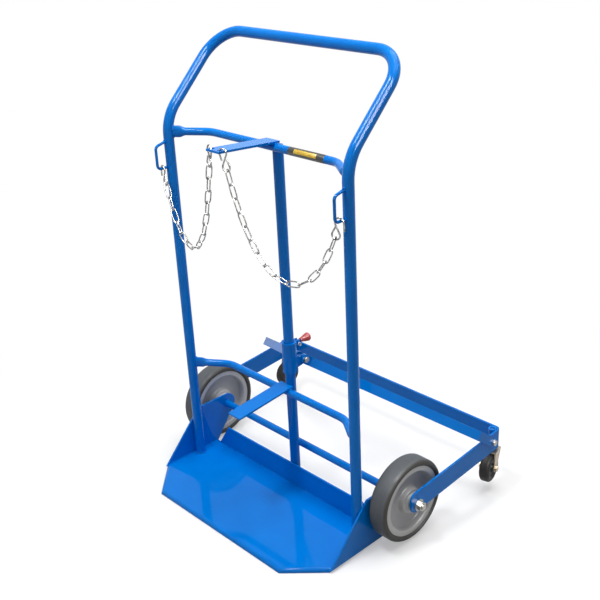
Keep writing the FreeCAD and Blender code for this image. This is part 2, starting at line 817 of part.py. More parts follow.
def make_link(side, sign):
    """A flat bar with a tab at the lug and, joggled outwards, a tab outside the arm."""
    slope = math.degrees(math.atan2(size("link_drop"), size("link_run")))
    tilted = Rotation(Vector(1, 0, 0), -slope)
    body = new_body(f"{side}_link", Placement(Vector(0, size("lug_y"), size("lug_height")), tilted))
    near_face = f"{sign} * link_inner_x"
    near_back = f"{sign} * (link_inner_x + link_thickness)"
    far_face = f"{sign} * link_outer_x"
    far_back = f"{sign} * (link_outer_x + link_thickness)"
    outline = [(near_face, "-link_end"), (near_face, "link_lug_tab"), (far_face, "link_joggle"),
               (far_face, "link_length + link_end"), (far_back, "link_length + link_end"),
               (far_back, "link_joggle - link_mitre"), (near_back, "link_lug_tab - link_mitre"),
               (near_back, "-link_end")]
    pad(body, draw_outline(new_sketch(body, "XY_Plane"), outline), "link_width", centred=True)

    def at_tab_end(edge):
        ends = edge.Vertexes
        limits = (-size("link_end"), size("link_length") + size("link_end"))
        at_end = any(all(near(end.Y, limit) for end in ends) for limit in limits)
        return at_end and near(ends[0].Z, ends[-1].Z)
    round_edges(body, "link_end - 1", at_tab_end)
    holes = new_sketch(body, "YZ_Plane")
    draw_circle(holes, "0", "0", "link_bolt_radius + fit_gap")
    draw_circle(holes, "link_length", "0", "link_bolt_radius + fit_gap")
    pocket_through(body, holes)


def make_lug_bolt():
    """Two stubs of the pivot bolt, one in each link, with their heads outside."""
    y = size("lug_y")
    z = size("lug_height")
    start = size("link_inner_x")
    seat = start + size("link_thickness") + size("side_gap")
    stubs = []
    for sign in SIDES.values():
        shank_place = across(side_start(sign, start, seat - start), y, z)
        shank = cylinder("link_bolt_radius", "link_thickness + side_gap", shank_place)
        head_place = across(side_start(sign, seat, size("link_bolt_head")), y, z)
        stubs.append(fuse(shank, prism("link_bolt_flats", "link_bolt_head", head_place)))
    keep(group(*stubs), "lug_bolt")


def sleeve_space(length, lift):
    """The space that the sleeve fills, for coping what is welded to it."""
    return cylinder("sleeve_radius", length, Placement(Vector(0, size("centre_offset"), lift), Rotation()))


def collar_space():
    """The space that the collar at the sleeve's top fills."""
    low = size("sleeve_top") - size("sleeve_collar_height")
    place = Placement(Vector(0, size("centre_offset"), low), Rotation())
    return cylinder("sleeve_collar_diameter / 2", "sleeve_collar_height", place)


def make_sleeve():
    place = Placement(Vector(0, size("centre_offset"), size("sleeve_bottom")), Rotation())
    solid = fuse(cylinder("sleeve_radius", "sleeve_length", place), collar_space())
    tube = cut(solid, cylinder("sleeve_bore", "sleeve_length", place))
    low = size("latch_height") - size("latch_tooth_drop") - size("latch_tooth_height")
    corner = Vector(-size("latch_ear_inner"), size("centre_offset"), low)
    window = box("2 * latch_ear_inner", "sleeve_diameter", "latch_tooth_drop + latch_tooth_height",
                 Placement(corner, Rotation()))
    keep(cut(tube, window), "slide_sleeve")


def make_sleeve_lug():
    """A clevis welded behind the sleeve, with the pivot pin through its two cheeks."""
    body = new_body("sleeve_lug")
    outline = [("centre_offset", "lug_height - 1.5 * lug_round"), ("lug_y", "lug_height - lug_round"),
               ("lug_y", "lug_height + lug_round"), ("centre_offset", "lug_height + 1.4 * lug_round")]
    pad(body, draw_outline(new_sketch(body, "YZ_Plane"), outline), "lug_width", centred=True)
    boss = draw_circle(new_sketch(body, "YZ_Plane"), "lug_y", "lug_height", "lug_round")
    pad(body, boss, "lug_width", centred=True)
    sleeve = draw_circle(new_sketch(body, "XY_Plane"), "0", "centre_offset", "sleeve_radius")
    pocket_through(body, sleeve)
    cheek = "lug_width / 2 - lug_plate"
    web = "centre_offset + sleeve_radius + lug_plate"
    behind = "lug_y + 2 * lug_round"
    slot = [(f"-({cheek})", web), (cheek, web), (cheek, behind), (f"-({cheek})", behind)]
    pocket_through(body, draw_outline(new_sketch(body, "XY_Plane"), slot))
    hole = draw_circle(new_sketch(body, "YZ_Plane"), "lug_y", "lug_height", "link_bolt_radius + fit_gap")
    pocket_through(body, hole)
    pin_place = across(-size("lug_width") / 2, size("lug_y"), size("lug_height"))
    keep(cylinder("link_bolt_radius", "lug_width", pin_place), "lug_pin")


def make_latch_ears():
    y = size("latch_y")
    z = size("latch_height")
    low = z - size("latch_ear_height") / 2
    plates = []
    for sign in SIDES.values():
        x = side_start(sign, size("latch_ear_inner"), size("latch_ear_thickness"))
        plate = box("latch_ear_thickness", "latch_offset + latch_pin_diameter", "latch_ear_height",
                    Placement(Vector(x, size("centre_offset"), low), Rotation()))
        hole = cylinder("latch_pin_radius + fit_gap", "latch_ear_thickness", across(x, y, z))
        plates.append(cut(plate, sleeve_space("latch_ear_height", low), collar_space(), hole))
    keep(group(*plates), "latch_ears")
    reach = size("latch_ear_outer") + size("latch_spring_width") + size("latch_pin_end")
    pin_length = "2 * (latch_ear_outer + latch_spring_width + latch_pin_end)"
    pin = cylinder("latch_pin_radius", pin_length, across(-reach, y, z))
    keep(pin, "latch_pivot_pin")
    start = size("latch_ear_outer") + size("side_gap")
    spring = ring("latch_spring_diameter / 2", "latch_pin_radius + fit_gap", "latch_spring_width",
                  across(start, y, z))
    keep(spring, "latch_spring")


def make_latch_lever():
    """A pawl on the pivot pin: its tooth points at the tube, its arm carries the rod and the grip."""
    y = size("latch_y")
    z = size("latch_height")
    lever = new_body("latch_lever", Placement(Vector(0, y, z), Rotation()))
    outline = [("latch_tooth_tip", "-latch_tooth_drop"), ("-latch_pin_diameter", "-latch_tooth_drop"),
               ("latch_pin_diameter", "-latch_pin_diameter * 1.2"),
               ("latch_arm + latch_face * sin(latch_rise * 1 deg)",
                "latch_arm_rise - latch_face * cos(latch_rise * 1 deg)"),
               ("latch_arm - latch_face * sin(latch_rise * 1 deg)",
                "latch_arm_rise + latch_face * cos(latch_rise * 1 deg)"),
               ("-latch_pin_diameter * 0.8", "latch_pin_diameter * 1.2"),
               ("-latch_pin_diameter * 1.2", "-latch_pin_diameter * 0.7"),
               ("latch_tooth_tip", "latch_tooth_height - latch_tooth_drop")]
    pad(lever, draw_outline(new_sketch(lever, "YZ_Plane"), outline), "latch_width", centred=True)
    hole = draw_circle(new_sketch(lever, "YZ_Plane"), "0", "0", "latch_pin_radius + fit_gap")
    pocket_through(lever, hole)
    rise = size("latch_rise")
    root = Vector(0, y + size("latch_arm"), z + size("latch_arm_rise"))
    heading = Rotation(Vector(1, 0, 0), rise - 90)
    keep(cylinder("latch_rod_diameter / 2", "latch_rod_length", Placement(root, heading)), "latch_rod")
    bare = size("latch_rod_length") - size("latch_grip_length")
    place = Placement(root, heading) * Placement(Vector(0, 0, bare), Rotation())
    cone = doc.addObject("Part::Cone", "Cone")
    cone.Placement = place
    bind(cone, Radius1="latch_grip_base / 2", Radius2="latch_grip_tip / 2", Height="latch_grip_length")
    keep(cut(cone, cylinder("latch_rod_diameter / 2", "latch_grip_length", place)), "latch_grip")


# Chains

def hanging_curve(start, end, length):
    """Point and heading at any distance along a chain hung between two points."""
    level = Vector(end.x - start.x, end.y - start.y, 0)
    span = level.Length
    level.normalize()
    drop = end.z - start.z
    wanted = math.sqrt(length ** 2 - drop ** 2)
    low, high = 1e-3, 50.0
    for _ in range(80):
        middle = (low + high) / 2
        if math.sinh(middle) / middle < wanted / span:
            low = middle
        else:
            high = middle
    scale = span / (2 * low)
    lowest = span / 2 - scale * math.atanh(drop / length)
    first_arc = scale * math.sinh(-lowest / scale)
    base = start.z - scale * math.cosh(-lowest / scale)

    def at(distance):
        x = lowest + scale * math.asinh((first_arc + distance) / scale)
        point = start + level * x
        point.z = base + scale * math.cosh((x - lowest) / scale)
        rise = math.sinh((x - lowest) / scale)
        heading = (level + Vector(0, 0, rise)).normalize()
        return point, heading
    sideways = Vector(0, 0, 1).cross(level)
    return at, sideways


def link_solid(middle, heading, flat):
    """One straight chain link, long along its heading and lying flat along a second direction."""
    wire = size("chain_wire")
    half_length = (size("chain_pitch") + size("chain_gap")) / 2
    half_width = size("chain_link_width") / 2 - wire
    corner = half_width * size("chain_corner")
    normal = heading.cross(flat)

    def loop(grow):
        long_side = half_length + grow
        wide_side = half_width + grow
        cut_back = corner + grow * CHAMFER_GROWTH
        quarter = [(long_side, wide_side - cut_back), (long_side - cut_back, wide_side)]
        quarters = quarter + [(-a, b) for a, b in reversed(quarter)]
        full = quarters + [(-a, -b) for a, b in quarters]
        points = [middle + heading * a + flat * b - normal * (wire / 2) for a, b in full]
        return Part.makePolygon(points + [points[0]])
    face = Part.makeFace([loop(wire), loop(0)], "Part::FaceMakerBullseye")
    return face.extrude(normal * wire)


def hook_path(centre, heading, flat):
    """S-shaped path: one loop about the centre and one further along the heading."""
    radius = size("hook_loop")
    step = size("hook_step")
    lean = math.acos(radius / step)
    open_end = math.radians(300)

    def on_loop(turn):
        return Vector(radius * math.sin(turn), radius * math.cos(turn), 0)
    upper = [on_loop(open_end), on_loop((open_end + lean) / 2), on_loop(lean)]
    lower = [Vector(-point.x, 2 * step - point.y, 0) for point in reversed(upper)]
    points = [centre + flat * point.x + heading * point.y for point in upper + lower]
    return Part.Wire([Part.Arc(*points[:3]).toShape(),
                      Part.LineSegment(points[2], points[3]).toShape(),
                      Part.Arc(*points[3:]).toShape()])


def make_chain(side, sign, strap):
    tip = -(size("strap_reach") + size("crossbar_offset"))
    aside = size("strap_hole_spacing") / 2 + size("hook_loop")
    eye = Vector(sign * aside, tip + size("strap_hole_inset"), size("strap_thickness") / 2)
    start = strap.Placement.multVec(eye)
    end = staple_arm(sign)
    pitch = size("chain_pitch")
    count = int(size("chain_links"))
    link_reach = pitch + size("chain_gap") + size("chain_wire")
    hook_reach = 2 * size("hook_step") + size("hook_loop")
    hook_reach = hook_reach - size("hook_wire") / 2 - size("chain_wire") / 2 - size("hook_gap")
    length = 2 * hook_reach + link_reach + (count - 1) * pitch
    at, sideways = hanging_curve(start, end, length)
    links = []
    for number in range(count):
        middle, heading = at(hook_reach + link_reach / 2 + number * pitch)
        in_plane = sideways.cross(heading)
        links.append(link_solid(middle, heading, in_plane if number % 2 else sideways))
    shaped(f"{side}_chain", Part.makeCompound(links))
    _, first_heading = at(hook_reach / 2)
    _, last_heading = at(length - hook_reach / 2)
    upper = hook_path(start, first_heading, first_heading.cross(sideways))
    lower = hook_path(end, last_heading * -1, last_heading.cross(sideways))
    wire = size("hook_wire") / 2
    shaped(f"{side}_chain_hooks", Part.makeCompound([rod_along(upper, wire), rod_along(lower, wire)]))


def build():
    make_main_frame_tube()
    make_crossbar("upper_crossbar", size("upper_crossbar_height"))
    make_crossbar("lower_crossbar", size("lower_crossbar_height"))
    make_centre_tube()
    upper_height = size("upper_crossbar_height")
    lower_height = size("lower_crossbar_height")
    upper_strap = make_strap("upper_divider_strap", upper_height, size("upper_strap_tilt"), True)
    make_strap("lower_divider_strap", lower_height, size("lower_strap_tilt"), False)
    make_toe_plate()
    make_axle()
    make_carriage_bar()
    for side, sign in SIDES.items():
        make_gusset(side, sign)
        make_staple(side, sign)
        make_axle_hardware(side, sign)
        make_wheel_hub(side, sign)
        make_tyre(side, sign)
        make_wheel_bearings(side, sign)
        make_caster_socket(side, sign)
        make_link_bolt(side, sign)
        make_caster_stem(side, sign)
        make_caster_fork(side, sign)
        make_caster_axle(side, sign)
        make_caster_wheel(side, sign)
        make_link(side, sign)
        make_chain(side, sign, upper_strap)
    make_lug_bolt()
    make_sleeve()
    make_sleeve_lug()
    make_latch_ears()
    make_latch_lever()
    doc.recompute()


def check():
    """Stop if any object failed or any piece's shape is missing or faulty."""
    for thing in doc.Objects:
        if "Invalid" in thing.State or "Error" in thing.State:
            raise RuntimeError(f"{thing.Name} failed: {thing.State}")
    for node in nodes:
        if node.Shape.isNull() or not node.Shape.isValid():
            raise RuntimeError(f"{node.Label} has no valid shape")


def write():
    os.makedirs("parts", exist_ok=True)
    for node in nodes:
        shape = node.Shape.copy()
        shape.translate(Vector(0, -size("origin_setback"), 0))
        shape.exportStep(f"parts/{node.Label}.step")


build()
check()
write()
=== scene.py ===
"""Looks of the gas cylinder cart: finishes, round wire, welds and turned wheels over the CAD frame."""
import bpy
import bmesh
import json
import math
from mathutils import Matrix, Vector


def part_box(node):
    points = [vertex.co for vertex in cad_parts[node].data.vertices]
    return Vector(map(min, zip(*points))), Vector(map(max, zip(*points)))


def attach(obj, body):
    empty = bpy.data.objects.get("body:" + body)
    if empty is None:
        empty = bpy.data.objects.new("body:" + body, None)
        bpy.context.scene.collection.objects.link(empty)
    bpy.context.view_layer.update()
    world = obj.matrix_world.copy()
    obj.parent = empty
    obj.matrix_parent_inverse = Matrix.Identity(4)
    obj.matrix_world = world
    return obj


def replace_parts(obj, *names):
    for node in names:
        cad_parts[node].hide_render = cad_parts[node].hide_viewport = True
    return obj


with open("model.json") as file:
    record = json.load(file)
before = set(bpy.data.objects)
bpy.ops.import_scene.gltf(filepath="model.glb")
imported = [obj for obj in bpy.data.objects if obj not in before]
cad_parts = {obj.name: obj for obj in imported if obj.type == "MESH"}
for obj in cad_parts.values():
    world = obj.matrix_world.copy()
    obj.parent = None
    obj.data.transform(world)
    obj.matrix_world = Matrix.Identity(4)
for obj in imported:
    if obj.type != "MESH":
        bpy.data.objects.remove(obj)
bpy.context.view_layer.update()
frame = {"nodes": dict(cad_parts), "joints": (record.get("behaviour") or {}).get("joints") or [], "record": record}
nodes = frame["nodes"]
SIDES = {"left": -1, "right": 1}
X, Y, Z = Vector((1, 0, 0)), Vector((0, 1, 0)), Vector((0, 0, 1))
JOIN = 1e-5

# Places in millimetres, from the floor midway between the rails

SETBACK = 147.5
RAIL = 348
RAIL_FOOT = 12
HANDLE_BEND = 1107
HANDLE_TOP = 1319
HANDLE_REAR = 212
UPPER_BAR = 1068
LOWER_BAR = 340
BAR_HEIGHTS = (UPPER_BAR, LOWER_BAR)
BAR_BEND = 245
BAR_REAR = 71
STAPLE_TOP = 1042
STAPLE_SHOULDER = 1033
STAPLE_FOOT = 968
STAPLE_REAR = -12
STAPLE_FRONT = -48


def at(x, y, z):
    """A point given in millimetres from the floor midway between the rails."""
    return Vector((x, y - SETBACK, z)) / 1000


# Materials

WHEEL_MIDDLE = 0.406
COAT_ROUGHNESS = 0.08


def new_material(name, colour, rough, metal=0.0, coat=0.0):
    material = bpy.data.materials.new(name)
    material.use_nodes = True
    shader = material.node_tree.nodes["Principled BSDF"]
    shader.inputs["Base Color"].default_value = (*colour, 1)
    shader.inputs["Roughness"].default_value = rough
    shader.inputs["Metallic"].default_value = metal
    shader.inputs["Coat Weight"].default_value = coat
    shader.inputs["Coat Roughness"].default_value = COAT_ROUGHNESS
    return material, material.node_tree, shader


def noise(tree, scale, detail=4.0):
    """Noise over the object's own coordinates, so that it moves with the piece."""
    where = tree.nodes.new("ShaderNodeTexCoord")
    node = tree.nodes.new("ShaderNodeTexNoise")
    node.inputs["Scale"].default_value = scale
    node.inputs["Detail"].default_value = detail
    tree.links.new(where.outputs["Object"], node.inputs["Vector"])
    return node.outputs["Fac"]


def spread(tree, factor, low, high, start=0.3, end=0.7):
    """Turn a factor between start and end into a range of values."""
    node = tree.nodes.new("ShaderNodeMapRange")
    node.inputs["From Min"].default_value = start
    node.inputs["From Max"].default_value = end
    node.inputs["To Min"].default_value = low
    node.inputs["To Max"].default_value = high
    tree.links.new(factor, node.inputs["Value"])
    return node.outputs["Result"]


def tint(tree, shader, factor, first, second, start=0.3, end=0.7):
    """Colour a material between two shades, by a factor between start and end."""
    node = tree.nodes.new("ShaderNodeValToRGB")
    stops = ((start, first), (end, second))
    for element, (place, colour) in zip(node.color_ramp.elements, stops):
        element.position = place
        element.color = (*colour, 1)
    tree.links.new(factor, node.inputs["Fac"])
    tree.links.new(node.outputs["Color"], shader.inputs["Base Color"])


def vary_roughness(tree, shader, factor, low, high):
    tree.links.new(spread(tree, factor, low, high), shader.inputs["Roughness"])


def bump(tree, shader, factor, strength, depth):
    node = tree.nodes.new("ShaderNodeBump")
    node.inputs["Strength"].default_value = strength
    node.inputs["Distance"].default_value = depth
    tree.links.new(factor, node.inputs["Height"])
    tree.links.new(node.outputs["Normal"], shader.inputs["Normal"])


def make_enamel():
    """Glossy blue paint."""
    material, tree, shader = new_material("blue_enamel", (0.0, 0.179, 0.642), rough=0.1)
    tint(tree, shader, noise(tree, 9.0), (0.0, 0.168, 0.612), (0.0, 0.19, 0.673))
    vary_roughness(tree, shader, noise(tree, 12.0, detail=1.0), low=0.06, high=0.08)
    shader.inputs["Specular IOR Level"].default_value = 0.1
    bump(tree, shader, noise(tree, 150.0, detail=1.0), strength=0.0015, depth=0.0006)
    return material


def make_zinc(name, light, dark, rough):
    material, tree, shader = new_material(name, light, rough, metal=1.0)
    tint(tree, shader, noise(tree, 160.0), dark, light, start=0.35, end=0.65)
    vary_roughness(tree, shader, noise(tree, 90.0), rough - 0.08, rough + 0.12)
    bump(tree, shader, noise(tree, 700.0, detail=2.0), strength=0.08, depth=0.0004)
    return material


def grain_rubber(tree, shader):
    bump(tree, shader, noise(tree, 600.0, detail=6.0), strength=0.15, depth=0.0005)


def make_rubber(name, dark, light, rough):
    material, tree, shader = new_material(name, dark, rough)
    shader.inputs["Specular IOR Level"].default_value = 0.25
    tint(tree, shader, noise(tree, 14.0), dark, light)
    vary_roughness(tree, shader, noise(tree, 60.0), rough - 0.1, rough + 0.1)
    grain_rubber(tree, shader)
    return material


def from_wheel_middle(tree, scale, ragged):
    """How far a point lies sideways from its wheel's middle plane, made uneven by noise."""
    where = tree.nodes.new("ShaderNodeTexCoord")
    parts = tree.nodes.new("ShaderNodeSeparateXYZ")
    tree.links.new(where.outputs["Object"], parts.inputs["Vector"])
    source = parts.outputs["X"]
    for operation, amount in (("ABSOLUTE", 0.0), ("SUBTRACT", WHEEL_MIDDLE), ("ABSOLUTE", 0.0)):
        step = tree.nodes.new("ShaderNodeMath")
        step.operation = operation
        step.inputs[1].default_value = amount
        tree.links.new(source, step.inputs[0])
        source = step.outputs[0]
    uneven = tree.nodes.new("ShaderNodeMath")
    uneven.operation = "MULTIPLY_ADD"
    uneven.inputs[1].default_value = ragged
    tree.links.new(noise(tree, scale), uneven.inputs[0])
    tree.links.new(source, uneven.inputs[2])
    return uneven.outputs[0]


def make_tyre_rubber():
    """Rubber that is paler on the rolled tread than on the two side walls."""
    material, tree, shader = new_material("tyre_rubber", (0.05, 0.05, 0.053), rough=0.6)
    shader.inputs["Specular IOR Level"].default_value = 0.35
    sideways = from_wheel_middle(tree, scale=40.0, ragged=0.006)
    wall = spread(tree, sideways, 0.0, 1.0, start=0.023, end=0.029)
    tint(tree, shader, wall, (0.07, 0.079, 0.088), (0.029, 0.0275, 0.0245), start=0.0, end=1.0)
    vary_roughness(tree, shader, noise(tree, 60.0), low=0.5, high=0.7)
    grain_rubber(tree, shader)
    return material


def make_hub_grey():
    """Grey paint with painted shade: darker down in the recessed dish, paler on the raised rim and boss."""
    material, tree, shader = new_material("hub_grey", (0.5, 0.5, 0.5), rough=0.42)
    sideways = from_wheel_middle(tree, scale=25.0, ragged=0.008)
    # painted shade: this mask darkens the paint towards the wheel's middle plane, down in the dish, and leaves the
    # raised rim and boss paler
    dish_shade_mask = spread(tree, sideways, 0.0, 1.0, start=0.008, end=0.028)
    tint(tree, shader, dish_shade_mask, (0.37, 0.37, 0.38), (0.53, 0.525, 0.51), start=0.0, end=1.0)
    vary_roughness(tree, shader, noise(tree, 70.0), low=0.36, high=0.52)
    bump(tree, shader, noise(tree, 350.0, detail=3.0), strength=0.12, depth=0.0006)
    return material


def make_red_grip():
    material, tree, shader = new_material("red_grip", (0.52, 0.012, 0.02), rough=0.3, coat=0.2)
    tint(tree, shader, noise(tree, 40.0), (0.46, 0.01, 0.016), (0.58, 0.018, 0.026))
    bump(tree, shader, noise(tree, 500.0, detail=2.0), strength=0.08, depth=0.0005)
    return material


def make_film(name, colour, dark, light, rough, coat=0.0):
    """Smooth printed film."""
    material, tree, shader = new_material(name, colour, rough, coat=coat)
    tint(tree, shader, noise(tree, 60.0), dark, light)
    return material


finishes = {
    "blue_enamel": make_enamel(),
    "zinc": make_zinc("zinc", (0.42, 0.41, 0.37), (0.31, 0.3, 0.275), 0.36),
    "chain_zinc": make_zinc("chain_zinc", (0.42, 0.42, 0.41), (0.12, 0.12, 0.115), 0.18),
    "bearing_steel": make_zinc("bearing_steel", (0.55, 0.55, 0.57), (0.42, 0.42, 0.44), 0.28),
    "tyre_rubber": make_tyre_rubber(),
    "hub_grey": make_hub_grey(),
    "caster_grey": make_rubber("caster_grey", (0.022, 0.022, 0.024), (0.035, 0.035, 0.037), 0.5),
    "caster_rubber": make_rubber("caster_rubber", (0.013, 0.0125, 0.0115), (0.021, 0.02, 0.0185), 0.55),
    "red_grip": make_red_grip(),
}
fork_zinc = make_zinc("fork_zinc", (0.42, 0.355, 0.27), (0.29, 0.245, 0.185), 0.34)
label_film = make_film("label_film", (0.012, 0.012, 0.012), (0.01, 0.01, 0.01), (0.02, 0.02, 0.018),
                       rough=0.35, coat=0.3)
label_band = make_film("label_band", (0.65, 0.42, 0.02), (0.6, 0.38, 0.015), (0.7, 0.46, 0.03), rough=0.4)

for entry in frame["record"]["subparts"]:
    node = nodes[entry["node"]]
    node.data.materials.clear()
    yellowed = entry["node"].endswith(("caster_fork", "caster_axle"))
    node.data.materials.append(fork_zinc if yellowed else finishes[entry["material_slot"]])


# Mesh building

BEND_STEP = math.radians(6)
BEND_LEAST_STEPS = 3
NEAR_PARALLEL = 0.95
CORNER_STEPS = 4
CORNER_SHARE = 0.45


def new_piece(name, mesh, finish, body, smooth=35):
    """Make an object of a bmesh, with its finish, riding on a CAD body."""
    bmesh.ops.recalc_face_normals(mesh, faces=mesh.faces)
    data = bpy.data.meshes.new(name)
    mesh.to_mesh(data)
    mesh.free()
    for face in data.polygons:
        face.use_smooth = True
    data.set_sharp_from_angle(angle=math.radians(smooth))
    data.materials.append(finishes[finish] if isinstance(finish, str) else finish)
    thing = bpy.data.objects.new(name, data)
    bpy.context.scene.collection.objects.link(thing)
    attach(thing, body)
    return thing


def bent_path(points, radii):
    """Points along straight runs with rounded corners."""
    path = [points[0]]
    for before, corner, after, radius in zip(points, points[1:], points[2:], radii):
        back = (before - corner).normalized()
        ahead = (after - corner).normalized()
        half = back.angle(ahead) / 2
        centre = corner + (back + ahead).normalized() * (radius / math.sin(half))
        entry = corner + back * (radius / math.tan(half))
        start = entry - centre
        turn = math.pi - 2 * half
        axis = back.cross(ahead)
        count = max(BEND_LEAST_STEPS, math.ceil(turn / BEND_STEP))
        for index in range(count + 1):
            spin = Matrix.Rotation(-turn * index / count, 3, axis)
            path.append(centre + spin @ start)
    path.append(points[-1])
    return path


def refined(path, longest):
    """Split long straight runs so that no step is longer than asked."""
    points = [path[0]]
    for first, second in zip(path, path[1:]):
        pieces = max(1, math.ceil((second - first).length / longest))
        points += [first.lerp(second, (index + 1) / pieces) for index in range(pieces)]
    return points


def join_rings(mesh, pairs):
    """Fill the faces between pairs of rings of vertices."""
    for first, second in pairs:
        sides = len(first)
        for side in range(sides):
            following = (side + 1) % sides
            mesh.faces.new((first[side], first[following], second[following], second[side]))


def sweep(mesh, path, section, sides, closed=False, up=Z):
    """Sweep a section along a path. The section gives width and height at a distance from the start."""
    count = len(path)
    distances = [0.0]
    for first, second in zip(path, path[1:]):
        distances.append(distances[-1] + (second - first).length)
    rings = []
    across = None
    for index, point in enumerate(path):
        before = path[index - 1] if index or closed else path[index]
        after = path[(index + 1) % count] if index + 1 < count or closed else path[index]
        heading = (after - before).normalized()
        if across is None:
            across = heading.cross(up if abs(heading.dot(up)) < NEAR_PARALLEL else Y)
        across = (across - heading * across.dot(heading)).normalized()
        above = across.cross(heading)
        wide, high = section(distances[index], distances[-1])
        ring = []
        for side in range(sides):
            turn = 2 * math.pi * side / sides
            offset = across * (wide * math.cos(turn)) + above * (high * math.sin(turn))
            ring.append(mesh.verts.new(point + offset))
        rings.append(ring)
    pairs = list(zip(rings, rings[1:]))
    if closed:
        pairs.append((rings[-1], rings[0]))
    join_rings(mesh, pairs)
    if not closed:
        mesh.faces.new(rings[0])
        mesh.faces.new(reversed(rings[-1]))


def round_section(radius):
    return lambda distance, total: (radius, radius)


def lathe(mesh, profile, place, sides):
    """Turn a closed profile of (along, radius) points about a place's X axis."""
    rings = []
    for along, radius in profile:
        ring = []
        for side in range(sides):
            turn = 2 * math.pi * side / sides
            spot = Vector((along, radius * math.cos(turn), radius * math.sin(turn)))
            ring.append(mesh.verts.new(place @ spot))
        rings.append(ring)
    join_rings(mesh, list(zip(rings, rings[1:])) + [(rings[-1], rings[0])])


def rounded(profile):
    """Round each corner of a closed profile of (along, radius, corner size) points."""
    points = []
    for index, (along, radius, size) in enumerate(profile):
        here = Vector((along, radius))
        if size <= 0:
            points.append(tuple(here))
            continue
        back = Vector(profile[index - 1][:2]) - here
        ahead = Vector(profile[(index + 1) % len(profile)][:2]) - here
        reach = min(size, back.length * CORNER_SHARE, ahead.length * CORNER_SHARE)
        first = here + back.normalized() * reach
        last = here + ahead.normalized() * reach
        for step in range(CORNER_STEPS + 1):
            share = step / CORNER_STEPS
            low = first.lerp(here, share)
            high = here.lerp(last, share)
            points.append(tuple(low.lerp(high, share)))
    return points


# Tubes and rods

TUBE = 0.015
BAR = 0.011
STAPLE_ROD = 0.004
HANDLE_RADII = [0.12, 0.095, 0.095, 0.12]
BAR_RADII = [0.07, 0.07]
STAPLE_RADII = [0.012, 0.012]
BAR_STEP = 0.004
CRIMP_WIDE = 0.0055
CRIMP_HIGH = 0.0168
CRIMP_LENGTH = 0.032
CRIMP_FADE = 0.02

mesh = bmesh.new()
loop = [at(-RAIL, 0, RAIL_FOOT), at(-RAIL, 0, HANDLE_BEND), at(-RAIL, HANDLE_REAR, HANDLE_TOP),
        at(RAIL, HANDLE_REAR, HANDLE_TOP), at(RAIL, 0, HANDLE_BEND), at(RAIL, 0, RAIL_FOOT)]
sweep(mesh, bent_path(loop, HANDLE_RADII), round_section(TUBE), sides=40)
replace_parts(new_piece("frame_loop", mesh, "blue_enamel", "frame"), "main_frame_tube")


def crimped(distance, total):
    """A bar whose two ends are pressed into upright ovals."""
    near_end = min(distance, total - distance)
    share = min(1.0, max(0.0, (near_end - CRIMP_LENGTH) / CRIMP_FADE))
    share = share * share * (3 - 2 * share)
    return CRIMP_WIDE + (BAR - CRIMP_WIDE) * share, CRIMP_HIGH + (BAR - CRIMP_HIGH) * share


for name, height in (("upper_crossbar", UPPER_BAR), ("lower_crossbar", LOWER_BAR)):
    mesh = bmesh.new()
    points = [at(-RAIL, 0, height), at(-BAR_BEND, BAR_REAR, height),
              at(BAR_BEND, BAR_REAR, height), at(RAIL, 0, height)]
    sweep(mesh, refined(bent_path(points, BAR_RADII), BAR_STEP), crimped, sides=32)
    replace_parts(new_piece(name + "_bent", mesh, "blue_enamel", "frame"), name)

for side, sign in SIDES.items():
    mesh = bmesh.new()
    x = sign * RAIL
    points = [at(x, STAPLE_REAR, STAPLE_TOP), at(x, STAPLE_FRONT, STAPLE_SHOULDER),
              at(x, STAPLE_FRONT, STAPLE_FOOT), at(x, STAPLE_REAR, STAPLE_FOOT)]
    sweep(mesh, bent_path(points, STAPLE_RADII), round_section(STAPLE_ROD), sides=20)
    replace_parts(new_piece(f"{side}_staple_rod", mesh, "blue_enamel", "frame"), f"{side}_chain_staple")


# Wheels and casters, from half profiles of (along, radius, corner size) points

def joint_axis(name):
    """Place of a joint, with its axis as the place's X direction."""
    joint = next(item for item in frame["joints"] if item["name"] == name)
    axis = Vector(joint["axis"]).normalized()
    turn = X.rotation_difference(axis).to_matrix().to_4x4()
    return Matrix.Translation(Vector(joint["pos_m"])) @ turn


def both_ways(half):
    """A profile for both sides of a wheel, from the points of one side."""
    return half + [(-point[0], *point[1:]) for point in reversed(half)]


WHEEL_SIDES = 128
CASTER_SIDES = 96
TYRE_HALF = [(0.025, 0.1042, 0), (0.0262, 0.1056, 0.001), (0.029, 0.108, 0.002), (0.029, 0.1135, 0.005),
             (0.0265, 0.1185, 0.004), (0.0205, 0.122, 0.006)]
HUB_HALF = [(0.032, 0.0205, 0.0005), (0.032, 0.0262, 0.0012), (0.0305, 0.027, 0.0006),
            (0.0245, 0.0285, 0.001), (0.0235, 0.036, 0.002), (0.0075, 0.039, 0.004),
            (0.0048, 0.06, 0.004), (0.0052, 0.0845, 0.004), (0.0185, 0.087, 0.002),
            (0.0225, 0.0882, 0.002), (0.025, 0.0908, 0.0015), (0.025, 0.1038, 0.0008)]
CASTER_TREAD = [(0.0152, 0.0302, 0), (0.016, 0.0318, 0.0008), (0.016, 0.0378, 0.002),
                (0.0105, 0.0445, 0.003)]
CASTER_CORE = [(0.016, 0.0052, 0), (0.016, 0.0125, 0.001), (0.0105, 0.0135, 0.001), (0.0095, 0.0265, 0.002),
               (0.0145, 0.0285, 0.001), (0.0145, 0.03, 0.0005)]

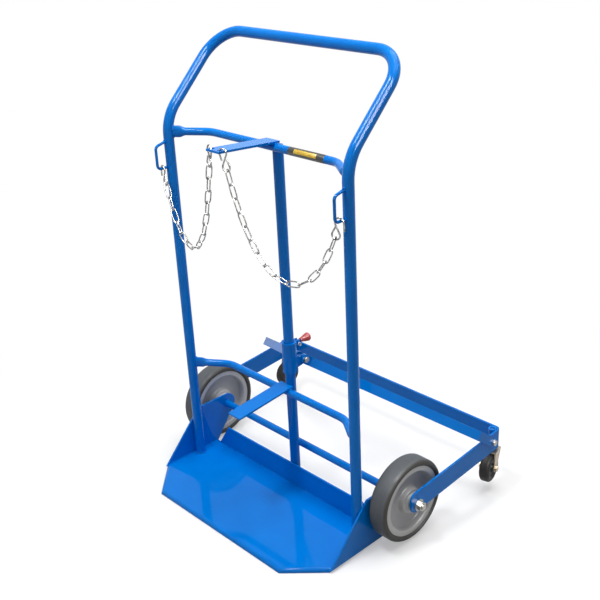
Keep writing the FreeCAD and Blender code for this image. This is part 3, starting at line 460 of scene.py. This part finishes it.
for side in SIDES:
    place = joint_axis(f"{side}_wheel_spin")
    for name, half, finish in (("tyre", TYRE_HALF, "tyre_rubber"), ("wheel_hub", HUB_HALF, "hub_grey")):
        mesh = bmesh.new()
        lathe(mesh, rounded(both_ways(half)), place, WHEEL_SIDES)
        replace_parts(new_piece(f"{side}_{name}_turned", mesh, finish, f"{side}_wheel"), f"{side}_{name}")
    place = joint_axis(f"{side}_caster_spin")
    for name, half, finish in (("caster_tread", CASTER_TREAD, "caster_rubber"),
                               ("caster_core", CASTER_CORE, "caster_grey")):
        mesh = bmesh.new()
        lathe(mesh, rounded(both_ways(half)), place, CASTER_SIDES)
        piece = new_piece(f"{side}_{name}_turned", mesh, finish, f"{side}_caster_wheel")
        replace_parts(piece, f"{side}_{name}")


# Chains of round wire, laid over the links of the CAD chain

CHAIN_WIRE = 0.0017
LINK_STEPS = 36
LINK_END_POWER = 0.5
LINK_SIDE_POWER = 0.62


def joined_mesh(node):
    """A copy of a node's mesh, with its doubled vertices joined."""
    mesh = bmesh.new()
    mesh.from_mesh(node.data)
    bmesh.ops.remove_doubles(mesh, verts=mesh.verts, dist=JOIN)
    return mesh


def islands(mesh):
    """The vertices of a mesh, grouped by the loose piece that they belong to."""
    seen = set()
    groups = []
    for first in mesh.verts:
        if first in seen:
            continue
        seen.add(first)
        stack = [first]
        group = []
        while stack:
            vertex = stack.pop()
            group.append(vertex)
            for edge in vertex.link_edges:
                other = edge.other_vert(vertex)
                if other not in seen:
                    seen.add(other)
                    stack.append(other)
        groups.append(group)
    return groups


def middle_of(spots):
    return sum(spots, Vector()) / len(spots)


def main_direction(offsets):
    """The line along which offsets reach out, to one side and to the other."""
    far = max(offsets, key=lambda offset: offset.length)
    return sum((offset if offset.dot(far) > 0 else -offset for offset in offsets), Vector()).normalized()


def link_frames(node):
    """Middle, two axes and two half sizes of every link of a chain."""
    mesh = joined_mesh(node)
    found = []
    for island in islands(mesh):
        spots = [vertex.co.copy() for vertex in island]
        middle = middle_of(spots)
        offsets = [spot - middle for spot in spots]
        longest = main_direction(offsets)
        wide = main_direction([offset - longest * offset.dot(longest) for offset in offsets])
        halves = [max(abs(offset.dot(axis)) for offset in offsets) for axis in (longest, wide)]
        found.append((middle, longest, wide, halves))
    mesh.free()
    return found


def wire_link(mesh, middle, longest, wide, halves):
    """One link: a rounded loop of round wire."""
    reach, spread_out = [half - CHAIN_WIRE for half in halves]
    path = []
    for index in range(LINK_STEPS):
        turn = 2 * math.pi * index / LINK_STEPS
        along = math.copysign(abs(math.cos(turn)) ** LINK_END_POWER, math.cos(turn))
        aside = math.copysign(abs(math.sin(turn)) ** LINK_SIDE_POWER, math.sin(turn))
        path.append(middle + longest * (reach * along) + wide * (spread_out * aside))
    sweep(mesh, path, round_section(CHAIN_WIRE), sides=12, closed=True, up=longest.cross(wide))


for side in SIDES:
    mesh = bmesh.new()
    for link in link_frames(nodes[f"{side}_chain"]):
        wire_link(mesh, *link)
    piece = new_piece(f"{side}_chain_wire", mesh, "chain_zinc", f"{side}_chain_set")
    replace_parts(piece, f"{side}_chain")


# Hooks of bent wire at both ends of the chains: loops of (radius, turn where the tail starts, tail)

LOOP_OFFSET = 0.019
LOOP_STEPS = 24
HOOK_WIRE = 0.00225
HOOK_END = 0.0008
EYE = (0.011, 282, 0.0165)
STRAP_HOOK = (0.011, 276, 0.018)
STAPLE_HOOK = (0.0125, 250, 0.02)
STRAP_DROP = Vector((0, 0, -0.0015))
STAPLE_DROP = 0.0045


def hook_frames(node, chain_middle, normal):
    """Middle, heading towards the chain and direction aside, in the chain's plane, of each hook of a pair."""
    mesh = joined_mesh(node)
    found = []
    for island in islands(mesh):
        spots = [vertex.co.copy() for vertex in island]
        middle = middle_of(spots)
        reach = max((spot - middle).length for spot in spots)
        ends = [spot - middle for spot in spots if (spot - middle).length > reach - HOOK_END]
        heading = main_direction(ends)
        if heading.dot(chain_middle - middle) < 0:
            heading = -heading
        edges = {edge for vertex in island for edge in vertex.link_edges}
        longest = max(edges, key=lambda edge: edge.calc_length())
        shank = longest.verts[1].co - longest.verts[0].co
        if shank.dot(heading) < 0:
            shank = -shank
        aside = heading.cross(normal).normalized()
        if aside.dot(shank) > 0:
            aside = -aside
        found.append((middle, heading, aside))
    mesh.free()
    return found


def hook_half(radius, tail_turn, tail, lean):
    """Half of a hook, from its tail's end to its shank, as (aside, along) from the middle of its loop."""
    start = math.radians(tail_turn)
    loop_end = Vector((math.sin(start), math.cos(start))) * radius
    points = [loop_end + Vector((math.cos(start), -math.sin(start))) * tail]
    for index in range(LOOP_STEPS + 1):
        turn = start + (lean - start) * index / LOOP_STEPS
        points.append(Vector((math.sin(turn), math.cos(turn))) * radius)
    return points


def wire_hook(mesh, first, last, aside, hook):
    """One hook: an open loop about the first point, a straight shank and a closed eye about the last."""
    heading = (last - first).normalized()
    aside = (aside - heading * aside.dot(heading)).normalized()
    lean = math.acos((hook[0] + EYE[0]) / (last - first).length)
    path = [first + aside * x + heading * y for x, y in hook_half(*hook, lean)]
    path += [last - aside * x - heading * y for x, y in reversed(hook_half(*EYE, lean))]
    sweep(mesh, path, round_section(HOOK_WIRE), sides=16, up=heading.cross(aside))


for side in SIDES:
    mesh = bmesh.new()
    chain_middle = middle_of([vertex.co for vertex in nodes[f"{side}_chain"].data.vertices])
    chord = joint_axis(f"{side}_chain_swing").to_3x3() @ X
    normal = chord.cross(Z).normalized()
    pair = hook_frames(nodes[f"{side}_chain_hooks"], chain_middle, normal)
    pair.sort(key=lambda item: item[0].z)
    for (middle, heading, aside), hook in zip(pair, (STAPLE_HOOK, STRAP_HOOK)):
        drop = STRAP_DROP if hook is STRAP_HOOK else heading * STAPLE_DROP
        first = middle - heading * LOOP_OFFSET + drop
        wire_hook(mesh, first, middle + heading * LOOP_OFFSET, aside, hook)
    piece = new_piece(f"{side}_hooks_bent", mesh, "chain_zinc", f"{side}_chain_set")
    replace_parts(piece, f"{side}_chain_hooks")


# Weld beads

BEAD_STEP = 0.0011
RIPPLE_LENGTH = 0.0042
RIPPLE = 0.13
UNEVEN_PITCH = 410
UNEVEN = 0.06
BEAD_END = 0.35
BEAD_END_LENGTH = 0.006
BEAD_SMOOTH = 80
ROUND_TURN = 359
OVAL_OUT = 0.0155
OVAL_WIDE = 0.0058
OVAL_HIGH = 0.017
OVAL_STEP = 12
STITCHES = 4
STITCH_START = 60
STITCH_PITCH = 75
STITCH_HALF = 9


def bead(mesh, path, radius, seed):
    """A rippled line of weld metal along a path."""
    def section(distance, total):
        ripple = 1 + RIPPLE * math.sin(distance * 2 * math.pi / RIPPLE_LENGTH + seed)
        ripple += UNEVEN * math.sin(distance * UNEVEN_PITCH + seed)
        ends = min(1.0, BEAD_END + min(distance, total - distance) / BEAD_END_LENGTH)
        return radius * ripple * ends, radius * ripple * ends
    sweep(mesh, refined(path, BEAD_STEP), section, sides=8)


def arc(middle, first, second, radius, turn, count, start=0):
    """Points round an arc, in the plane of two directions."""
    points = []
    for index in range(count + 1):
        angle = math.radians(start + turn * index / count)
        points.append(middle + first * (radius * math.cos(angle)) + second * (radius * math.sin(angle)))
    return points


def rail_beads(mesh, sign):
    """Welds of a rail: round its foot, up the gusset, along the plate's edge and round the staple's ends."""
    rail = sign * RAIL
    foot = at(rail, 0, 12.5)
    bead(mesh, arc(foot, X, Y, radius=0.0158, turn=ROUND_TURN, count=60), radius=0.0026, seed=sign)
    gusset = rail + sign * 13.6
    for y in (-7, 7):
        bead(mesh, [at(gusset, y, 15), at(gusset, y, 84)], radius=0.0026, seed=y + sign)
    edge = sign * 362
    bead(mesh, [at(edge, -118, 12.4), at(edge, -18, 12.4)], radius=0.0017, seed=3 + sign)
    for height in (STAPLE_TOP, STAPLE_FOOT):
        end = at(rail, -15, height)
        bead(mesh, arc(end, X, Z, radius=0.0046, turn=ROUND_TURN, count=30), radius=0.0017, seed=height)


def bar_beads(mesh, sign):
    """Welds of the crossbars: round their pressed ends at a rail, and beside the divider straps."""
    way = Vector((-sign * (RAIL - BAR_BEND), BAR_REAR, 0)).normalized()
    level = way.cross(Z)
    turns = [math.radians(angle) for angle in range(0, 360, OVAL_STEP)]
    for height in BAR_HEIGHTS:
        end = at(sign * RAIL, 0, height) + way * OVAL_OUT
        spots = [end + level * (OVAL_WIDE * math.cos(turn)) + Z * (OVAL_HIGH * math.sin(turn))
                 for turn in turns]
        bead(mesh, spots + [spots[0]], radius=0.0022, seed=height + sign)
    strap = sign * 25.5
    for height in BAR_HEIGHTS:
        ends = [at(strap, 65, height + 11.5), at(strap, 77, height + 11.2)]
        bead(mesh, ends, radius=0.0019, seed=height)


def plate_beads(mesh, sign):
    """Welds of the plate's flange: up the centre tube, and in stitches along the plate."""
    post = sign * 5.5
    bead(mesh, [at(post, 82.4, 24), at(post, 82.4, 84)], radius=0.0024, seed=sign)
    for step in range(STITCHES):
        x = sign * (STITCH_START + STITCH_PITCH * step)
        ends = [at(x + half, 76.2, 13.2) for half in (-STITCH_HALF, STITCH_HALF)]
        bead(mesh, ends, radius=0.0019, seed=x)


def centre_beads(mesh, height):
    """Welds of a crossbar to the centre tube and to its divider strap."""
    tube = at(0, 82, height)
    bead(mesh, arc(tube, X, Z, radius=0.0085, turn=ROUND_TURN, count=36), radius=0.0022, seed=height)
    strap = [at(x, 64.5, height + 9.6) for x in (-23, 23)]
    bead(mesh, strap, radius=0.0018, seed=height + 1)


mesh = bmesh.new()
for sign in SIDES.values():
    rail_beads(mesh, sign)
    bar_beads(mesh, sign)
    plate_beads(mesh, sign)
for height in BAR_HEIGHTS:
    centre_beads(mesh, height)
new_piece("weld_beads", mesh, "blue_enamel", "frame", smooth=BEAD_SMOOTH)

mesh = bmesh.new()
for sign in SIDES.values():
    lug = sign * 15.2
    bead(mesh, [at(lug, 111.5, 402), at(lug, 111.5, 438)], radius=0.002, seed=sign)
new_piece("lug_beads", mesh, "blue_enamel", "sleeve", smooth=BEAD_SMOOTH)


# Grip and spring of the latch

GRIP_BORE = 0.0034
GRIP_DISH = 0.0012
COIL_TURNS = 4
COIL_STEPS = 28
COIL_WIRE = 0.0006

low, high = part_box("latch_grip")
half = (high.y - low.y) / 2
place = Matrix.Translation((low + high) / 2) @ Matrix.Rotation(math.radians(90), 4, "Z")
grip = [(-half, GRIP_BORE, 0), (-half, 0.006, 0.001), (-half * 0.55, 0.0073, 0.004),
        (half * 0.35, 0.0115, 0.006), (half * 0.82, 0.013, 0.003), (half, 0.0118, 0.002),
        (half, 0.0085, 0.001), (half - GRIP_DISH, 0.0075, 0.001), (half - GRIP_DISH, GRIP_BORE, 0)]
mesh = bmesh.new()
lathe(mesh, rounded(grip), place, sides=64)
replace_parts(new_piece("grip_turned", mesh, "red_grip", "latch"), "latch_grip")

low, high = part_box("latch_spring")
middle = (low + high) / 2
reach = (high.z - low.z) / 2 - COIL_WIRE
path = []
for index in range(COIL_TURNS * COIL_STEPS + 1):
    turn = 2 * math.pi * index / COIL_STEPS
    along = (low.x + COIL_WIRE) + (high.x - low.x - 2 * COIL_WIRE) * index / (COIL_TURNS * COIL_STEPS)
    path.append(Vector((along, middle.y + reach * math.cos(turn), middle.z + reach * math.sin(turn))))
mesh = bmesh.new()
sweep(mesh, path, round_section(COIL_WIRE), sides=10)
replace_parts(new_piece("spring_coil", mesh, "bearing_steel", "sleeve"), "latch_spring")


# Plain film round the upper crossbar

FILM_STEPS = 28
FILM_RIM = 1
FILM_EDGE = 0.00005


def wrap(name, low, high, start, turn, lift, finish):
    """A strip of film round the upper crossbar between two places along it."""
    mesh = bmesh.new()
    rows = []
    for along in (low, low + FILM_RIM, high - FILM_RIM, high):
        middle = at(along, BAR_REAR, UPPER_BAR)
        raised = BAR + (lift if low < along < high else FILM_EDGE)
        spots = arc(middle, Y, Z, raised, turn, count=FILM_STEPS, start=start)
        rows.append([mesh.verts.new(spot) for spot in spots])
    for first, second in zip(rows, rows[1:]):
        for index in range(FILM_STEPS):
            mesh.faces.new((first[index], first[index + 1], second[index + 1], second[index]))
    new_piece(name, mesh, finish, "frame")


wrap("label_film", low=76, high=206, start=20, turn=250, lift=0.0003, finish=label_film)
wrap("label_band", low=98, high=180, start=118, turn=62, lift=0.0005, finish=label_band)


# Softened edges on the flat steel

SOFT_EDGE = 0.0007
SOFT_STEPS = 2
FLAT_ANGLE = math.radians(0.5)
EDGE_ANGLE = math.radians(40)
SPLIT_ANGLE = math.radians(32)
FLAT_STEEL = ["toe_plate", "carriage_bar", "upper_divider_strap", "lower_divider_strap", "sleeve_lug",
              "latch_ears", "latch_lever", "lug_bolt"]
PAIRED_STEEL = ("gusset", "link", "caster_fork", "axle_nut", "link_bolt", "caster_axle")
for side in SIDES:
    FLAT_STEEL += [f"{side}_{name}" for name in PAIRED_STEEL]


def soften(node):
    """Round a node's sharp edges a little."""
    weld = node.modifiers.new("join", "WELD")
    weld.merge_threshold = JOIN
    flatten = node.modifiers.new("flatten", "DECIMATE")
    flatten.decimate_type = "DISSOLVE"
    flatten.angle_limit = FLAT_ANGLE
    bevel = node.modifiers.new("soften", "BEVEL")
    bevel.width = SOFT_EDGE
    bevel.segments = SOFT_STEPS
    bevel.limit_method = "ANGLE"
    bevel.angle_limit = EDGE_ANGLE
    split = node.modifiers.new("split", "EDGE_SPLIT")
    split.split_angle = SPLIT_ANGLE


for name in FLAT_STEEL:
    soften(nodes[name])


# Camera, floor and light

CAMERA_PLACE = at(1864.2, -1561.7, 1744.3)
CAMERA_YAW = math.radians(47.46)
CAMERA_PITCH = math.radians(24.32)
CAMERA_ROLL = -0.05
SENSOR = 36
FOCAL_PIXELS = 974.56
PICTURE_PIXELS = 600
FLOOR_HALF = 30
FLOOR_DROP = -0.0005
GLOW_START = 0.5
GLOW_END = 1.5
LEAST_GLOW = 0.35
WORLD_STRENGTH = 0.43


def add_camera():
    yaw, pitch, roll = CAMERA_YAW, CAMERA_PITCH, CAMERA_ROLL
    forward = Vector((-math.sin(yaw) * math.cos(pitch), math.cos(yaw) * math.cos(pitch), -math.sin(pitch)))
    right = Vector((math.cos(yaw), math.sin(yaw), 0))
    above = right.cross(forward)
    rolled_right = right * math.cos(roll) + above * math.sin(roll)
    rolled_above = above * math.cos(roll) - right * math.sin(roll)
    data = bpy.data.cameras.new("camera")
    data.sensor_width = SENSOR
    data.lens = SENSOR * FOCAL_PIXELS / PICTURE_PIXELS
    camera = bpy.data.objects.new("camera", data)
    turn = Matrix((rolled_right, rolled_above, -forward)).transposed().to_4x4()
    camera.matrix_world = Matrix.Translation(CAMERA_PLACE) @ turn
    bpy.context.scene.collection.objects.link(camera)
    bpy.context.scene.camera = camera


def white_rays(tree):
    """One for rays that show the backdrop: from the camera, in reflections and through clear things."""
    path = tree.nodes.new("ShaderNodeLightPath")
    total = path.outputs["Is Camera Ray"]
    for other in ("Is Glossy Ray", "Is Transmission Ray"):
        larger = tree.nodes.new("ShaderNodeMath")
        larger.operation = "MAXIMUM"
        tree.links.new(total, larger.inputs[0])
        tree.links.new(path.outputs[other], larger.inputs[1])
        total = larger.outputs[0]
    return total


def make_floor_white():
    """White to look at, glowing more away from the cart, and dimmer in the light that it throws back."""
    material, tree, shader = new_material("floor_white", (0.94, 0.94, 0.94), rough=0.85)
    shader.inputs["Specular IOR Level"].default_value = 0.0
    dim = tree.nodes.new("ShaderNodeBsdfDiffuse")
    dim.inputs["Color"].default_value = (0.3, 0.3, 0.3, 1)
    glow = tree.nodes.new("ShaderNodeEmission")
    where = tree.nodes.new("ShaderNodeTexCoord")
    far = tree.nodes.new("ShaderNodeVectorMath")
    far.operation = "LENGTH"
    tree.links.new(where.outputs["Object"], far.inputs[0])
    fade = tree.nodes.new("ShaderNodeMapRange")
    fade.interpolation_type = "SMOOTHSTEP"
    fade.inputs["From Min"].default_value = GLOW_START
    fade.inputs["From Max"].default_value = GLOW_END
    fade.inputs["To Min"].default_value = LEAST_GLOW
    tree.links.new(far.outputs["Value"], fade.inputs["Value"])
    seen = tree.nodes.new("ShaderNodeMixShader")
    tree.links.new(fade.outputs["Result"], seen.inputs[0])
    tree.links.new(shader.outputs["BSDF"], seen.inputs[1])
    tree.links.new(glow.outputs["Emission"], seen.inputs[2])
    whole = tree.nodes.new("ShaderNodeMixShader")
    tree.links.new(white_rays(tree), whole.inputs[0])
    tree.links.new(dim.outputs["BSDF"], whole.inputs[1])
    tree.links.new(seen.outputs["Shader"], whole.inputs[2])
    tree.links.new(whole.outputs["Shader"], tree.nodes["Material Output"].inputs["Surface"])
    return material


def add_floor():
    mesh = bmesh.new()
    bmesh.ops.create_grid(mesh, x_segments=1, y_segments=1, size=FLOOR_HALF)
    data = bpy.data.meshes.new("floor")
    mesh.to_mesh(data)
    mesh.free()
    data.materials.append(make_floor_white())
    floor = bpy.data.objects.new("floor", data)
    floor.location.z = FLOOR_DROP
    bpy.context.scene.collection.objects.link(floor)


def add_area(name, place, target, size, power, only_reflections=False):
    data = bpy.data.lights.new(name, "AREA")
    data.size = size
    data.energy = power
    lamp = bpy.data.objects.new(name, data)
    lamp.location = place
    lamp.rotation_euler = (Vector(target) - Vector(place)).to_track_quat("-Z", "Y").to_euler()
    lamp.visible_diffuse = not only_reflections
    bpy.context.scene.collection.objects.link(lamp)


def add_world(strength):
    world = bpy.data.worlds.new("studio")
    world.use_nodes = True
    bpy.context.scene.world = world
    tree = world.node_tree
    back = tree.nodes["Background"]
    back.inputs["Color"].default_value = (1, 1, 1, 1)
    mix = tree.nodes.new("ShaderNodeMix")
    mix.inputs["A"].default_value = strength
    mix.inputs["B"].default_value = 1.0
    tree.links.new(white_rays(tree), mix.inputs["Factor"])
    tree.links.new(mix.outputs["Result"], back.inputs["Strength"])


add_camera()
add_floor()
add_world(WORLD_STRENGTH)
add_area("top", place=(0.45, 1.4, 4.6), target=(0, 0, 0.5), size=3.4, power=152)
add_area("front", place=(-0.12, -1.15, 3.35), target=(0, 0, 0.6), size=0.6, power=42)
add_area("glint", place=(2.05, -0.35, 2.65), target=(0, 0, 1.2), size=1.3, power=240, only_reflections=True)
add_area("front_glint", place=(-0.12, -1.15, 3.35), target=(0, 0, 0.6), size=0.9, power=180,
         only_reflections=True)
bpy.context.scene.view_settings.view_transform = "Standard"
